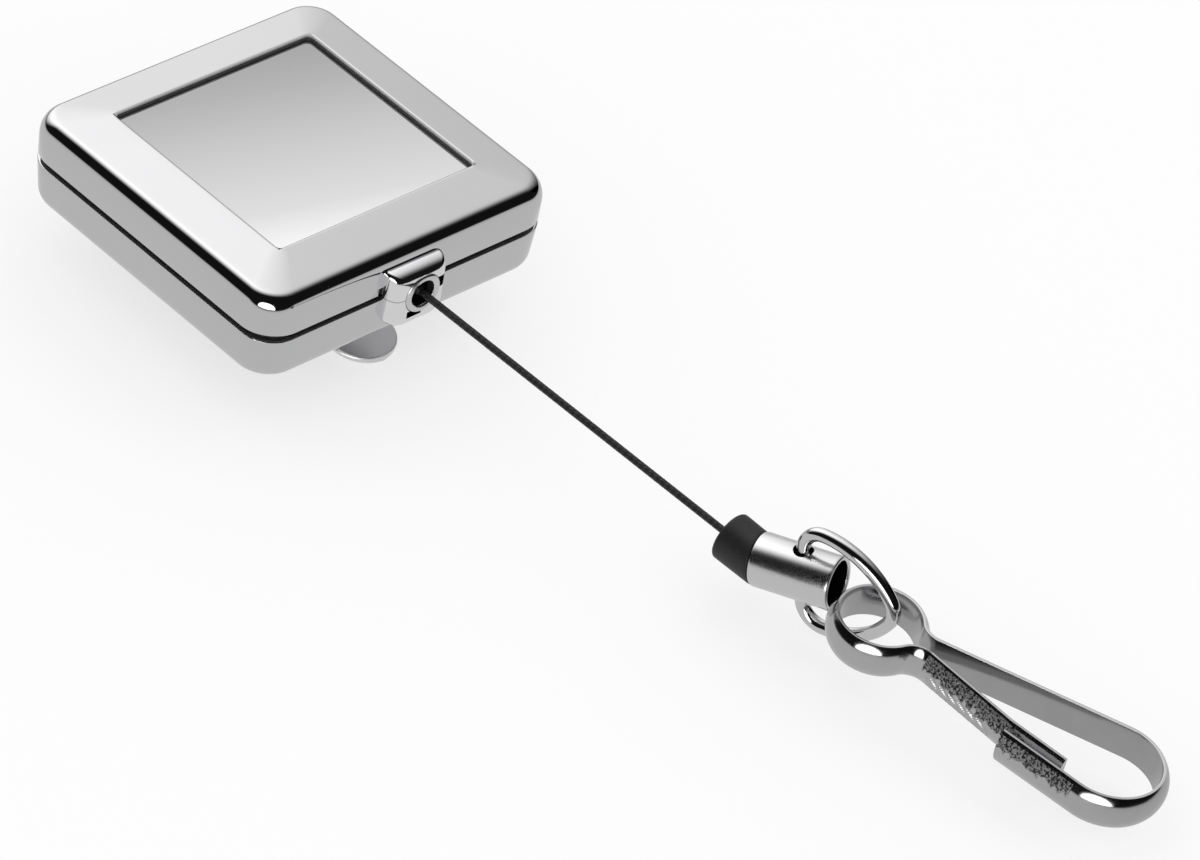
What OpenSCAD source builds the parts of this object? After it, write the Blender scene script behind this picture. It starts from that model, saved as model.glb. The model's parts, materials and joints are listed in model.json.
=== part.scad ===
// Retractable badge reel: square two-shell case with a spring spool, a cord, a ferrule,
// a wire bail, a snap hook and a belt clip. Millimetres, +Z out of the front face.
// The origin is the centre of the case's rear face, on the spool's axis. The cord leaves toward -Y.

/* [Case] */
// Side of the square case
case_side = 40; // [39:0.5:42]
// Radius of the case's plan corners
case_corner = 4; // [3:0.5:5]
// Height of the front cover's lip above the rear face
case_depth = 12; // [12:0.1:12.6]
// Height of the rear cover's rim
rear_rim = 5.6; // [5.4:0.1:5.7]
// Height of the shadow gap between the two covers
gap_height = 0.7; // [0.5:0.1:0.9]
// Thickness of the cover walls
wall = 1.1; // [1:0.05:1.2]
// Side of the square window that holds the face plate
window_side = 27; // [25:0.5:28]
// Depth of the face plate below the cover's lip
window_step = 0.65; // [0.5:0.05:0.8]
// Distance of each corner screw from the case's centre lines
screw_place = 16.2; // [16:0.1:16.4]

/* [Spool] */
// Winding radius of the spool's drum
drum_r = 13; // [12.5:0.1:13.1]
// Radius of the spool's flanges
flange_r = 16.5; // [16:0.1:17]
// Radius of the fixed spindle
spindle_r = 2; // [1.8:0.1:2.2]
// Radial running clearance of the spool on the spindle
running_gap = 0.05; // [0.02:0.01:0.08]
// Turns of the flat mainspring
spring_turns = 10; // [6:1:12]

/* [Cord] */
// Diameter of the cord
cord_d = 0.8; // [0.7:0.05:0.9]
// Length of cord from the eyelet to the ferrule
cord_out = 48.3; // [44.3:1:60.3]
// Angle of the cord to the case's centre line, seen from the front
cord_yaw = 6.5; // [0:0.5:12]
// Angle by which the cord drops below the case's plane
cord_drop = 6.1; // [3:0.1:8]

/* [Ferrule and bail] */
// Outer diameter of the ferrule
ferrule_d = 5.8; // [5.6:0.1:6]
// Length of the ferrule
ferrule_len = 9.1; // [9:0.05:9.3]
// Distance from the ferrule's closed end to the bail's cross holes
cross_hole_place = 5.05; // [5:0.05:5.3]
// Angle of the ferrule to the case's centre line
ferrule_yaw = 19.7; // [15:0.1:22]
// Angle by which the ferrule rises towards its open end
ferrule_rise = 7.7; // [6:0.1:9]
// Length of the rubber bumper
bumper_len = 4; // [3.5:0.1:4.5]
// Diameter of the bail's wire
bail_wire = 1.5; // [1.3:0.05:1.6]
// Length of the bail from its legs to its apex
bail_len = 11.2; // [11:0.1:11.6]
// Half the height of the bail
bail_half = 6.15; // [6:0.05:6.4]
// Angle by which the bail is swung away from the ferrule's axis
bail_turn = 8.6; // [4:0.1:14]

/* [Snap hook] */
// Width of the hook's strip
strip_w = 4; // [3.6:0.1:4.2]
// Thickness of the hook's strip
strip_t = 1.05; // [0.9:0.05:1.1]
// Inside radius of the hook's ring
ring_r = 4.3; // [4:0.1:4.4]
// Distance from the ring's centre to the centre of the end bend
hook_reach = 27.4; // [26:0.2:30]
// Angle of the hook to the case's centre line
hook_yaw = 21.6; // [20:0.2:24]
// Angle by which the hook drops towards its tip
hook_drop = 4.7; // [4:0.1:6]

/* [Belt clip] */
// Width of the clip's spring strip
clip_w = 8; // [6:0.5:10]
// Thickness of the clip's spring strip
clip_t = 0.8; // [0.6:0.05:0.9]
// Distance from the rear face to the outside of the clip
clip_stand = 6.2; // [5.6:0.1:6.6]
// Distance from the case's centre to the clip's tip
clip_reach = 17.6; // [15:0.2:19]

/* [Hidden] */
$fn = 64;

half = case_side / 2;
front_rim = rear_rim + gap_height;
cord_z = (rear_rim + front_rim) / 2;
cord_r = cord_d / 2;
eps = 0.02;

rear_floor = 1.2;
roof_z = 9.95;
adhesive_t = 0.15;
plate_t = case_depth - window_step - roof_z - 0.8 - adhesive_t;
window_floor = roof_z + 0.8;
lip_t = 0.45;
lip_drop = 0.9;
boss_r = 2;
screw_r = 0.7;
screw_head_r = 1.4;

block_w = 7.8;
block_x = -0.2;
block_front = half + 1.75;
block_top = 9.8;
block_bottom = 2;
eyelet_r = 2.3;
eyelet_bore = 1.15;
eyelet_front = half + 1.9;
eyelet_back = half - 1.7;
mouth_r = 0.6;
pivot_y = half + 0.95;

spool_low = 2;
spool_high = 9.4;
flange_t = 0.9;
cup_r = drum_r - 1;
web_t = 0.8;
hub_r = spindle_r + 1.2;
cover_r = drum_r - 0.4;
spring_t = 0.15;
spring_low = 2.7;
spring_high = 8.3;
spring_in = spindle_r + 0.5;
spring_out = cup_r - 0.3;
hook_slot = 0.5;
slot_angle = 30;

pack_r = drum_r + cord_r + eps;
leave_r = pack_r + cord_d + 2 * eps;
throat_y = -eyelet_back;
leave_angle = acos(leave_r / eyelet_back);
throat_r = 0.6;
lead_start = throat_r + 0.05;
lead_end = 3.2;

ferrule_r = ferrule_d / 2;
ferrule_wall = 0.5;
ferrule_rim = 0.3;
end_wall = 0.8;
cord_hole_r = 0.6;
cross_hole_r = 1.05;
knot_r = 1.5;
knot_place = 2.5;
bumper_r = 2.75;
bumper_bore = cord_r + 0.15;

wire_r = bail_wire / 2;
leg_end = 1.7;
leg_bend = 1.5;
apex_r = 2.2;
side_r = (pow(bail_len - apex_r - leg_bend, 2) + pow(bail_half, 2) - pow(apex_r, 2))
    / (2 * (bail_half - apex_r));
side_angle = atan2(side_r - bail_half, bail_len - apex_r - leg_bend);

ring_place = [-1.49, -10.3, -1.65];
ring_mid = ring_r + strip_t / 2;
neck_r = 2;
back_angle = 2.7;
back_offset = 0.64;
gate_angle = 19.2;
gate_offset = -0.25;
gate_knee = 17.9;
gate_tip = 7;
knee_angle = 6.1;
turn_r = 5.8;
turn_sweep = 195.2;
nose_len = 9.6;
gate_root = 6.4;
root_r = strip_t / 2 + 0.03;

clip_bend_y = 13;
clip_bend_r = clip_stand / 2;
clip_base_low = -6;
clip_gap_z = -4.5;
clip_flare_y = -9;
rivet_r = 1;
rivet_head_r = 1.6;
rivet_head_t = 0.4;
rivet_places = [-3.7, 8];

// Places along the chain from the eyelet to the hook

module at_eyelet() {
    translate([0, -pivot_y, cord_z]) rotate([0, 0, cord_yaw]) rotate([cord_drop, 0, 0]) children();
}

module at_ferrule() {
    at_eyelet() translate([0, -cord_out, 0]) rotate([-cord_drop, 0, 0])
        rotate([0, 0, ferrule_yaw - cord_yaw]) rotate([-ferrule_rise, 0, 0]) children();
}

module at_bail() {
    at_ferrule() translate([0, -cross_hole_place, 0]) rotate([0, 0, -bail_turn]) children();
}

module at_hook() {
    at_bail() translate(ring_place) rotate([0, 0, bail_turn]) rotate([ferrule_rise, 0, 0])
        rotate([0, 0, hook_yaw - ferrule_yaw]) rotate([hook_drop, 0, 0]) children();
}

// Shapes that repeat

module rounded_square(side, r) {
    square([side, side - 2 * r], center = true);
    square([side - 2 * r, side], center = true);
    for (x = [-1, 1], y = [-1, 1]) translate([x * (side / 2 - r), y * (side / 2 - r)]) circle(r);
}

module square_block(side, r, z0, z1) {
    translate([0, 0, z0]) linear_extrude(z1 - z0) rounded_square(side, r);
}

// A thin slice of the case's outline, for hulls
module slice(side, r, z) {
    translate([0, 0, z]) linear_extrude(eps) rounded_square(side, r, $fn = 32);
}

module ring(r_in, r_out, z0, z1) {
    translate([0, 0, z0]) difference() {
        cylinder(r = r_out, h = z1 - z0);
        translate([0, 0, -1]) cylinder(r = r_in, h = z1 - z0 + 2);
    }
}

module at_screws() {
    for (x = [-1, 1], y = [-1, 1]) translate([x * screw_place, y * screw_place, 0]) children();
}

// A straight rod along -Y from start to end
module rod(r, start, end) {
    translate([0, -start, 0]) rotate([90, 0, 0]) cylinder(r = r, h = end - start);
}

// A path is a list of points, each with the vector to its left. A band runs along both sides of it

function unit(a) = [cos(a), sin(a)];

// An arc about c from angle a0 to angle a1. The path's left side is outward when it runs clockwise
function arc_path(c, r, a0, a1) = let (steps = ceil(abs(a1 - a0) / 6), side = sign(a0 - a1))
    [for (i = [0 : steps]) let (a = a0 + (a1 - a0) * i / steps) [c + r * unit(a), side * unit(a)]];

function turned_point(v, a) = [v.x * cos(a) - v.y * sin(a), v.x * sin(a) + v.y * cos(a)];

function turned(path, a) = [for (p = path) [turned_point(p[0], a), turned_point(p[1], a)]];

// The path's mirror image in the X axis, run backwards
function mirrored_back(path) = [for (i = [len(path) - 1 : -1 : 0])
    [[path[i][0].x, -path[i][0].y], [path[i][1].x, -path[i][1].y]]];

module band(path, thickness, height) {
    left = [for (p = path) p[0] + p[1] * thickness / 2];
    right = [for (i = [len(path) - 1 : -1 : 0]) path[i][0] - path[i][1] * thickness / 2];
    linear_extrude(height) polygon(concat(left, right));
}

// The hole for the eyelet, through the nozzle block and the wall
module eyelet_hole() {
    translate([0, -half + 4, cord_z]) rod(eyelet_r, 0, 10);
}

module nozzle_block(z0, z1) {
    corner = 1.2;
    translate([block_x, 0, z0]) linear_extrude(z1 - z0) {
        translate([-block_w / 2, -block_front + corner]) square([block_w, 4]);
        translate([-block_w / 2 + corner, -block_front]) square([block_w - 2 * corner, 4]);
        for (x = [-1, 1]) translate([x * (block_w / 2 - corner), -block_front + corner]) circle(corner);
    }
}

// Case

module front_cover() {
    color("silver") difference() {
        union() {
            difference() {
                hull() {
                    slice(case_side, case_corner, front_rim);
                    slice(case_side - 0.25, case_corner, case_depth - 3.3);
                    slice(case_side - 1.1, case_corner - 0.4, case_depth - 1.6);
                    slice(case_side - 2.8, case_corner - 1, case_depth - 0.9);
                    slice(window_side + 0.8, 1.4, case_depth - eps);
                }
                square_block(case_side - 2 * wall - 1.2, case_corner - wall - 0.6, front_rim - 1, roof_z);
            }
            difference() {
                lip_out = case_side - 2 * wall - 0.3;
                square_block(lip_out, case_corner - wall, front_rim - gap_height - lip_drop, front_rim + 0.2);
                square_block(lip_out - 2 * lip_t, case_corner - wall - lip_t, 0, case_depth - 2);
            }
            at_screws() translate([0, 0, rear_floor + 0.1]) cylinder(r = boss_r, h = roof_z - rear_floor);
            intersection() {
                nozzle_block(cord_z + eps, block_top);
                translate([-half, -half - 5, 0]) cube([case_side, 5.6, case_depth]);
            }
        }
        square_block(window_side, 1, window_floor, case_depth + 1);
        at_screws() translate([0, 0, -1]) cylinder(r = screw_r + 0.05, h = 8);
        eyelet_hole();
    }
}

module rear_cover() {
    color("silver") difference() {
        union() {
            difference() {
                hull() {
                    slice(case_side - 4.2, case_corner - 1.4, 0);
                    slice(case_side - 2, case_corner - 0.6, 0.6);
                    slice(case_side - 0.6, case_corner, 1.9);
                    slice(case_side, case_corner, rear_rim - eps);
                }
                square_block(case_side - 2 * wall, case_corner - wall, rear_floor, rear_rim + 1);
            }
            intersection() {
                nozzle_block(block_bottom, cord_z - eps);
                translate([-half, -half - 5, 0]) cube([case_side, 5.9, case_depth]);
            }
        }
        translate([0, 0, -1]) cylinder(r = spindle_r, h = 4);
        at_screws() {
            translate([0, 0, -1]) cylinder(r = screw_r + 0.2, h = 4);
            translate([0, 0, -eps]) cylinder(r1 = screw_head_r + eps, r2 = screw_r + 0.2, h = 0.7);
        }
        for (y = rivet_places) translate([0, y, -1]) cylinder(r = rivet_r, h = 4);
        eyelet_hole();
    }
}

module face_plate() {
    color("gainsboro") square_block(window_side - 0.2, 0.9, window_floor + adhesive_t,
        window_floor + adhesive_t + plate_t);
}

module face_adhesive() {
    color("white") square_block(window_side - 1.5, 0.6, window_floor, window_floor + adhesive_t);
}

module cord_eyelet() {
    length = eyelet_front - eyelet_back;
    color("lightgray") translate([0, -eyelet_back, cord_z]) rotate([90, 0, 0]) rotate_extrude() {
        difference() {
            translate([eyelet_bore, 0]) square([eyelet_r - eyelet_bore, length]);
            for (end = [0, 1]) translate([0, end * length]) mirror([0, end]) difference() {
                translate([0, -1]) square([eyelet_bore + mouth_r, mouth_r + 1]);
                translate([eyelet_bore + mouth_r, mouth_r]) circle(mouth_r);
            }
        }
    }
}

module spindle() {
    color("darkgray") difference() {
        union() {
            translate([0, 0, 0.1]) cylinder(r = spindle_r, h = roof_z - 0.15);
            translate([0, 0, rear_floor]) cylinder(r = spindle_r + 1, h = 0.4);
        }
        rotate([0, 0, slot_angle]) translate([0, -hook_slot / 2, spring_low - 0.2])
            cube([spindle_r + 1, hook_slot, spring_high - spring_low + 0.4]);
    }
}

module front_washer() {
    color("white") ring(spindle_r + eps, hub_r + 1.4, spool_high + running_gap, roof_z - 0.05);
}

module rear_washer() {
    color("white") ring(spindle_r + eps, spindle_r + 1.3, rear_floor + 0.42, spool_low - running_gap);
}

module case_screws() {
    color("gray") at_screws() difference() {
        union() {
            translate([0, 0, eps]) cylinder(r1 = screw_head_r, r2 = screw_r, h = 0.66);
            translate([0, 0, eps]) cylinder(r = screw_r, h = 6.4);
        }
        for (a = [0, 90]) rotate([0, 0, a]) translate([-0.8, -0.14, -1]) cube([1.6, 0.28, 1.35]);
    }
}

// Belt clip

module clip_outline(y0, y1, round_tip) {
    tip = clip_w / 2;
    if (round_tip) {
        translate([0, y0 + tip]) circle(tip);
        translate([-tip, y0 + tip]) square([clip_w, y1 - y0 - tip]);
    } else {
        translate([-tip, y0]) square([clip_w, y1 - y0]);
    }
}

// Half of the clip's bend, as a ring seen along X
module clip_half_bend(upper) {
    translate([-clip_w / 2, clip_bend_y, -clip_bend_r]) rotate([90, 0, 90]) linear_extrude(clip_w)
        intersection() {
            difference() {
                circle(clip_bend_r);
                circle(clip_bend_r - clip_t);
            }
            translate([0, upper ? 0 : -clip_bend_r]) square(clip_bend_r);
        }
}

module at_clip_hinge() {
    translate([-clip_w / 2, clip_bend_y + clip_bend_r - clip_t / 2, -clip_bend_r])
        rotate([0, 90, 0]) children();
}

module clip_base() {
    color("silver") difference() {
        union() {
            translate([0, 0, -clip_t]) linear_extrude(clip_t)
                clip_outline(clip_base_low, clip_bend_y, true);
            clip_half_bend(true);
        }
        translate([-1, 0, 0]) at_clip_hinge() translate([0, 0, -1]) cylinder(r = clip_t / 2 + 0.06, h = clip_w + 4);
        for (y = rivet_places) translate([0, y, -2]) cylinder(r = rivet_r, h = 4);
    }
}

module clip_rivets() {
    color("gray") for (y = rivet_places) translate([0, y, 0]) {
        translate([0, 0, -clip_t]) cylinder(r = rivet_r, h = rear_floor + clip_t);
        translate([0, 0, -clip_t - rivet_head_t]) cylinder(r = rivet_head_r, h = rivet_head_t);
    }
}

// The tongue runs from the bend, closes in on the case and flares out again at its tip
module clip_tongue() {
    out = -clip_stand;
    color("silver") {
        difference() {
            clip_half_bend(false);
            translate([-half, clip_bend_y, -clip_bend_r]) cube([case_side, 10, 10]);
        }
        at_clip_hinge() cylinder(r = clip_t / 2, h = clip_w);
        intersection() {
            translate([-half, 0, 0]) rotate([90, 0, 90]) linear_extrude(case_side) polygon([
                [clip_bend_y + eps, out], [clip_flare_y, clip_gap_z - clip_t],
                [-clip_reach, out + 0.2], [-clip_reach, out + 0.2 + clip_t],
                [clip_flare_y, clip_gap_z], [clip_bend_y + eps, out + clip_t]
            ]);
            translate([0, 0, -case_depth]) linear_extrude(case_depth)
                clip_outline(-clip_reach, clip_bend_y + 1, true);
        }
    }
}

// Spool and mainspring

module spool() {
    color("whitesmoke") difference() {
        rotate_extrude() {
            translate([cup_r, spool_low]) square([drum_r - cup_r, spool_high - spool_low]);
            translate([cup_r, spool_low]) square([flange_r - cup_r, flange_t]);
            translate([cup_r, spool_high - flange_t]) square([flange_r - cup_r, flange_t]);
            translate([spindle_r + running_gap, spool_high - web_t])
                square([drum_r - spindle_r - running_gap, web_t]);
        }
        translate([0, 0, spool_low - 1]) cylinder(r = cover_r, h = 1.4);
        rotate([0, 0, slot_angle]) translate([cup_r - 1, -hook_slot / 2, spool_low - 1])
            cube([1.5, hook_slot, spring_high - spool_low + 1.2]);
        rotate([0, 0, -60]) translate([cup_r - 1, 0, cord_z]) rotate([0, 90, 0]) cylinder(r = cord_r + 0.2, h = 3);
        for (a = [0 : 60 : 300]) rotate([0, 0, a]) translate([7.6, 0, spool_high - 2]) cylinder(r = 1.6, h = 4);
    }
}

module spring_cover() {
    color("lightgray") ring(spindle_r + 0.7, cover_r, spool_low, spool_low + 0.4);
}

function spiral(a) = spring_in + (spring_out - spring_in) * a / (360 * spring_turns);

module mainspring() {
    corner = [-1, 1];
    coils = [for (a = [15 : 15 : 360 * spring_turns - 15]) [spiral(a) * unit(a), -unit(a)]];
    color("dimgray") rotate([0, 0, slot_angle]) translate([0, 0, spring_low]) band(concat(
        [[[spindle_r - 0.6, 0], unit(90)], [[spring_in, 0], corner]],
        coils,
        [[[spring_out, 0], corner], [[cup_r + 0.3, 0], unit(90)]]
    ), spring_t, spring_high - spring_low);
}

module torus(r, tube, z) {
    translate([0, 0, z]) rotate_extrude() translate([r, 0]) circle(tube);
}

module wound_cord() {
    pitch = cord_d + 0.02;
    color("black") {
        ring(drum_r + eps, drum_r + cord_r, cord_z - 2.7, cord_z + 2.7);
        for (i = [-3 : 3]) torus(pack_r, cord_r, cord_z + i * pitch);
    }
}

module anchor_knot() {
    wall_mid = (cup_r + drum_r) / 2;
    color("black") rotate([0, 0, -60]) translate([0, 0, cord_z]) {
        translate([wall_mid, 0, 0]) sphere(0.48);
        translate([wall_mid, 0, 0]) rotate([0, 90, 0]) cylinder(r = cord_r - eps, h = drum_r - wall_mid);
    }
}

// Cord

module cord_inner() {
    tangent = sqrt(eyelet_back * eyelet_back - leave_r * leave_r);
    color("black") translate([0, 0, cord_z]) {
        rod(cord_r, -throat_y - 0.2, pivot_y - lead_start);
        translate([0, throat_y, 0]) rotate([0, 90, 0]) rotate([0, 0, 45]) sphere(cord_r + 0.06);
        rotate([0, 0, leave_angle]) translate([-tangent - 0.1, -leave_r, 0]) rotate([0, 90, 0])
            cylinder(r = cord_r, h = tangent);
    }
}

module cord_throat() {
    color("black") at_eyelet() sphere(throat_r);
}

module cord_lead() {
    color("black") at_eyelet() rod(cord_r, lead_start, lead_end);
}

module cord_run() {
    color("black") at_eyelet() rod(cord_r, lead_end, cord_out - 0.1);
}

// Ferrule, bumper and bail

module bumper() {
    skirt_r = ferrule_r + 0.1;
    color("black") difference() {
        at_eyelet() {
            rod(bumper_r, cord_out - bumper_len, cord_out + 2);
            rod(skirt_r, cord_out - 1, cord_out + 2);
        }
        at_eyelet() rod(bumper_bore, 0, cord_out + 3);
        at_ferrule() translate([-10, -20, -10]) cube(20 + eps);
    }
}

module end_knot() {
    color("black") at_ferrule() {
        rod(cord_r, 0.1, knot_place);
        translate([0, -knot_place, 0]) sphere(knot_r);
    }
}

module ferrule() {
    color("silver") at_ferrule() difference() {
        union() {
            rod(ferrule_r, 2 * eps, ferrule_len - ferrule_rim);
            translate([0, ferrule_rim - ferrule_len, 0]) rotate([90, 0, 0])
                cylinder(r1 = ferrule_r, r2 = ferrule_r - ferrule_rim, h = ferrule_rim);
        }
        rod(ferrule_r - ferrule_wall, end_wall, ferrule_len + 1);
        rod(cord_hole_r, -1, end_wall + 1);
        translate([0, -cross_hole_place, -5]) cylinder(r = cross_hole_r, h = 10);
    }
}

// A wire arc in the bail's plane, about a centre given as distance along the bail and height
module wire_arc(along, height, r, a0, a1) {
    translate([0, -along, height]) rotate([90, 0, -90]) rotate([0, 0, a0])
        rotate_extrude(angle = a1 - a0) translate([r, 0]) circle(wire_r);
}

// Half of the bail: a straight leg, a tight bend and a long side. A slightly larger ball
// closes each joint between two stretches of wire
module half_bail() {
    ball_r = wire_r * 1.03;
    bend_z = bail_half - leg_bend;
    translate([0, 0, leg_end]) cylinder(r = wire_r, h = bend_z - leg_end);
    translate([0, 0, bend_z]) sphere(ball_r);
    wire_arc(leg_bend, bend_z, leg_bend, 90, 180);
    translate([0, -leg_bend, bail_half]) sphere(ball_r);
    wire_arc(leg_bend, bail_half - side_r, side_r, side_angle, 90);
    translate([0, -bail_len + apex_r - apex_r * cos(side_angle), apex_r * sin(side_angle)]) sphere(ball_r);
}

module bail() {
    color("silver") at_bail() {
        half_bail();
        mirror([0, 0, 1]) half_bail();
        wire_arc(bail_len - apex_r, 0, apex_r, -side_angle, side_angle);
    }
}

// Snap hook. Its plan is drawn with the hook's length along +X of the drawing

module strip(path) {
    translate([0, 0, -strip_w / 2]) band(path, strip_t, strip_w);
}

// Angle at which the neck's bend leaves the ring for an arm that passes the ring's centre at offset
function neck_angle(offset) = asin((offset + neck_r) / (ring_mid + neck_r));

function neck_x(offset) = (ring_mid + neck_r) * cos(neck_angle(offset));

// The neck's bend, from the ring to an arm along +X
function neck_path(offset) = arc_path([neck_x(offset), offset + neck_r], neck_r, 180 + neck_angle(offset), 270);

module at_gate_root() {
    rotate([0, 0, -gate_angle]) translate([gate_root, -gate_offset, -strip_w / 2]) children();
}

module hook_body() {
    ring_start = back_angle + neck_angle(back_offset);
    ring_stop = 360 - gate_angle - neck_angle(gate_offset);
    turn_mid = [hook_reach, back_offset - turn_r];
    nose_angle = 90 - turn_sweep;
    nose_start = turn_mid + turn_r * unit(nose_angle);
    nose_end = nose_start + nose_len * unit(nose_angle - 90);
    color("silver") at_hook() rotate([0, 0, -90]) difference() {
        strip(concat(
            turned(mirrored_back(neck_path(gate_offset)), -gate_angle),
            arc_path([0, 0], ring_mid, ring_stop, ring_start),
            turned(neck_path(back_offset), back_angle),
            turned(arc_path(turn_mid, turn_r, 90, nose_angle), back_angle),
            turned([[nose_end, unit(nose_angle)]], back_angle)
        ));
        translate([0, 0, -1]) at_gate_root() cylinder(r = root_r + 0.05, h = strip_w + 2);
    }
}

module hook_gate() {
    knee = [gate_knee, -gate_offset];
    tip = knee + gate_tip * unit(knee_angle);
    color("silver") at_hook() rotate([0, 0, -90]) {
        at_gate_root() cylinder(r = root_r, h = strip_w);
        strip(turned([
            [[gate_root, -gate_offset], unit(90)],
            [knee, unit(90 + knee_angle / 2)],
            [tip, unit(90 + knee_angle)]
        ], -gate_angle));
    }
}

front_cover();
rear_cover();
face_plate();
face_adhesive();
cord_eyelet();
spindle();
front_washer();
rear_washer();
case_screws();
clip_base();
clip_rivets();
clip_tongue();
spool();
spring_cover();
mainspring();
wound_cord();
anchor_knot();
cord_inner();
cord_throat();
cord_lead();
cord_run();
bumper();
end_knot();
ferrule();
bail();
hook_body();
hook_gate();
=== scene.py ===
"""Looks of the badge reel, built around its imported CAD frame. Lengths are in metres, angles in radians."""

import json
import math

import bmesh
import bpy
from mathutils import Matrix, Vector


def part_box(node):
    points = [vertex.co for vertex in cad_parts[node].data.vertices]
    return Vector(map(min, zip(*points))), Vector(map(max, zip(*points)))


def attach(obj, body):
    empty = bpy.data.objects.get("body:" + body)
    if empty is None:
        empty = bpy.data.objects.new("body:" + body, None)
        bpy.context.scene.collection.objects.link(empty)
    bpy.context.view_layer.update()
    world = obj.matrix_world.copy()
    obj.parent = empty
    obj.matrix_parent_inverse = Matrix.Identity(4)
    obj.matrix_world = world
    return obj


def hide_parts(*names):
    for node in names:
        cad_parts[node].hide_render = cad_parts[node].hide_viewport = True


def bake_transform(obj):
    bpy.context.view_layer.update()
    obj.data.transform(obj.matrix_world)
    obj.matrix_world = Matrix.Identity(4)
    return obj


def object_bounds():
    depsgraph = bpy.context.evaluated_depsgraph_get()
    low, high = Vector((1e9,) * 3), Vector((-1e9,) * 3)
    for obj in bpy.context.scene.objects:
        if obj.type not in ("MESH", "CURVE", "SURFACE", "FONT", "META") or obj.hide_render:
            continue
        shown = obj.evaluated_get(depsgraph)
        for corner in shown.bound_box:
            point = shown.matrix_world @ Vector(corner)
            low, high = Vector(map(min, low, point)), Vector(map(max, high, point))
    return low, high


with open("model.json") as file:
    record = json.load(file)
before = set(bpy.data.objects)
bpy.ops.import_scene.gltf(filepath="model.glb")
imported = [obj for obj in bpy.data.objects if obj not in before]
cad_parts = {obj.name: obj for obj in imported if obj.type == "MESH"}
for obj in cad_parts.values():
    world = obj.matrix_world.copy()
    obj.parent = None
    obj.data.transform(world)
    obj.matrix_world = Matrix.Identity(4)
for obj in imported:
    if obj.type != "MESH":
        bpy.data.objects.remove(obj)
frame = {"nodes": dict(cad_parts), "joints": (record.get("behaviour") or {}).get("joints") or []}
cad_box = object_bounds()

MM = 0.001
Z = Vector((0, 0, 1))
SMOOTH_ANGLE = math.radians(32)
joints = {joint["name"]: joint for joint in frame["joints"]}


def joint_place(name):
    return Vector(joints[name]["pos_m"])


def joint_axis(name):
    return Vector(joints[name]["axis"]).normalized()


# Places in the chain, from the frame
eyelet_place = joint_place("cord_yaw")
cord_dir = joint_axis("cord_pull")
ferrule_place = joint_place("ferrule_tilt")
ferrule_dir = joint_axis("ferrule_swivel")
bail_place = joint_place("bail_swing")
bail_axis = joint_axis("bail_swing")
ring_place = joint_place("hook_swing")
hook_normal = -joint_axis("hook_swing")

# Driving dimensions of the shapes that are rebuilt here
CASE_HALF = 20 * MM
WALL = 1.1 * MM
CORNER = 4 * MM
CORD_R = 0.4 * MM
FERRULE_R = 2.9 * MM
FERRULE_LENGTH = 9.1 * MM
BAIL_TURN = math.radians(8.6)
WIRE_R = 0.75 * MM
HOOK_YAW = math.radians(21.6)
STRIP_W = 4 * MM
STRIP_T = 1.05 * MM


# Mesh helpers

def arc(centre, radius, start, stop, steps):
    """Points on an arc of a plane, from angle start to angle stop."""
    angles = [start + (stop - start) * i / steps for i in range(steps + 1)]
    return [(centre[0] + radius * math.cos(a), centre[1] + radius * math.sin(a)) for a in angles]


def bezier(p0, p1, p2, p3, steps):
    points = []
    for i in range(steps + 1):
        t = i / steps
        w = ((1 - t) ** 3, 3 * t * (1 - t) ** 2, 3 * t * t * (1 - t), t ** 3)
        points.append(tuple(sum(k * p[n] for k, p in zip(w, (p0, p1, p2, p3))) for n in range(len(p0))))
    return points


def make_object(name, verts, faces, material, sharp=SMOOTH_ANGLE):
    mesh = bpy.data.meshes.new(name)
    mesh.from_pydata([tuple(v) for v in verts], [], faces)
    mesh.validate()
    obj = bpy.data.objects.new(name, mesh)
    bpy.context.scene.collection.objects.link(obj)
    tidy_mesh(obj, sharp)
    mesh.materials.append(material)
    return obj


def tidy_mesh(obj, sharp=SMOOTH_ANGLE):
    """Welds double points, points every face outwards and shades smooth up to the sharp angle."""
    bm = bmesh.new()
    bm.from_mesh(obj.data)
    bmesh.ops.remove_doubles(bm, verts=bm.verts, dist=1e-7)
    bmesh.ops.recalc_face_normals(bm, faces=bm.faces)
    bm.to_mesh(obj.data)
    bm.free()
    obj.data.shade_smooth()
    obj.data.set_sharp_from_angle(angle=sharp)


def loft(name, loops, material, closed=False, sharp=SMOOTH_ANGLE):
    """A skin over loops of equal length. Its ends are capped unless the last loop joins the first."""
    count = len(loops[0])
    verts = [p for loop in loops for p in loop]
    faces = []
    rows = len(loops) if closed else len(loops) - 1
    for i in range(rows):
        a, b = i * count, (i + 1) % len(loops) * count
        faces += [(a + j, a + (j + 1) % count, b + (j + 1) % count, b + j) for j in range(count)]
    if not closed:
        faces.append(tuple(range(count)))
        faces.append(tuple(range(len(verts) - count, len(verts)))[::-1])
    return make_object(name, verts, faces, material, sharp)


def lathe(name, profile, origin, axis, material, steps=96, sharp=SMOOTH_ANGLE):
    """A ring turned about axis through origin, from a closed profile of (radius, distance along the axis)."""
    side = axis.cross(Z).normalized()
    up = side.cross(axis)
    loops = []
    for i in range(steps):
        a = 2 * math.pi * i / steps
        out = side * math.cos(a) + up * math.sin(a)
        loops.append([origin + axis * y + out * r for r, y in profile])
    return loft(name, loops, material, closed=True, sharp=sharp)


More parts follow.
